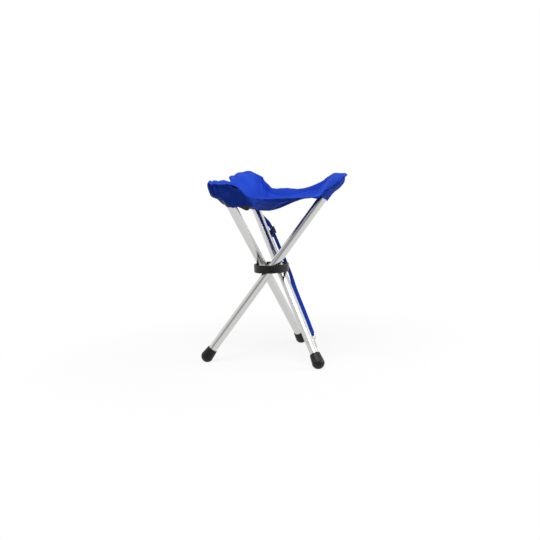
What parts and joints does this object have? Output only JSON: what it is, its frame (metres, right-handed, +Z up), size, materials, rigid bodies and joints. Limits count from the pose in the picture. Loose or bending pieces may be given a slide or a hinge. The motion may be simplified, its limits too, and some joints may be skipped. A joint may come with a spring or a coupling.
{
  "type": "tripod stool",
  "caption": "Folding tripod stool: leg tubes cross on rivets in a moulded ring and carry a sling seat by its corner pockets, with rubber feet and a carry strap.",
  "frame": {"origin": "on the floor under the middle of the pivot ring, with the stool standing open", "axes": "+Z up; -Y towards the side where one leg crosses in front of the ring"},
  "size_m": [0.3839, 0.3509, 0.4689],
  "materials": {
    "tube_aluminium": "satin drawn tube",
    "ring_plastic": "moulded black",
    "plug_plastic": "moulded black",
    "foot_rubber": "semi-gloss black",
    "seat_cloth": "woven royal blue",
    "pocket_vinyl": "coated black cloth",
    "strap_webbing": "ribbed blue webbing",
    "slider_plastic": "moulded black",
    "rivet_steel": "blackened steel",
    "loop_metal": "bright plated steel"
  },
  "bodies": {
    "hub": {"hub_ring": "ring_plastic", "seat_panel": "seat_cloth", "pivot_rivet_a": "rivet_steel", "pivot_rivet_b": "rivet_steel", "pivot_rivet_c": "rivet_steel", "pivot_washer_a": "rivet_steel", "pivot_washer_b": "rivet_steel", "pivot_washer_c": "rivet_steel"},
    "leg_a": {"leg_tube_a": "tube_aluminium", "foot_a": "foot_rubber", "top_plug_a": "plug_plastic", "pivot_saddle_a": "ring_plastic", "corner_pocket_a": "pocket_vinyl", "pocket_cover_a": "seat_cloth"},
    "leg_b": {"leg_tube_b": "tube_aluminium", "foot_b": "foot_rubber", "top_plug_b": "plug_plastic", "pivot_saddle_b": "ring_plastic", "corner_pocket_b": "pocket_vinyl", "pocket_cover_b": "seat_cloth"},
    "leg_c": {"leg_tube_c": "tube_aluminium", "foot_c": "foot_rubber", "top_plug_c": "plug_plastic", "pivot_saddle_c": "ring_plastic", "corner_pocket_c": "pocket_vinyl", "pocket_cover_c": "seat_cloth", "carry_strap": "strap_webbing", "strap_ring": "loop_metal", "strap_bracket": "loop_metal", "bracket_rivet": "loop_metal"},
    "slider": {"strap_slider": "slider_plastic"}
  },
  "joints": [
    {"name": "fold_a", "type": "hinge", "parent": "hub", "child": "leg_a", "pos_m": [0, -0.0227, 0.23091], "axis": [0, -1, 0], "range_deg": [0, 38.5], "deforming": ["seat_panel"]},
    {"name": "fold_b", "type": "hinge", "parent": "hub", "child": "leg_b", "pos_m": [-0.01966, 0.01135, 0.23091], "axis": [-0.866, 0.5, 0], "range_deg": [0, 38.5]},
    {"name": "fold_c", "type": "hinge", "parent": "hub", "child": "leg_c", "pos_m": [0.01966, 0.01135, 0.23091], "axis": [0.866, 0.5, 0], "range_deg": [0, 38.5]},
    {"name": "slider_travel", "type": "slide", "parent": "leg_c", "child": "slider", "axis": [-0.324, 0.5317, 0.7825], "range_m": [-0.055, 0.008]}
  ],
  "couplings": [
    {"joint": "fold_b", "follows": "fold_a", "ratio": 1},
    {"joint": "fold_c", "follows": "fold_a", "ratio": 1}
  ]
}
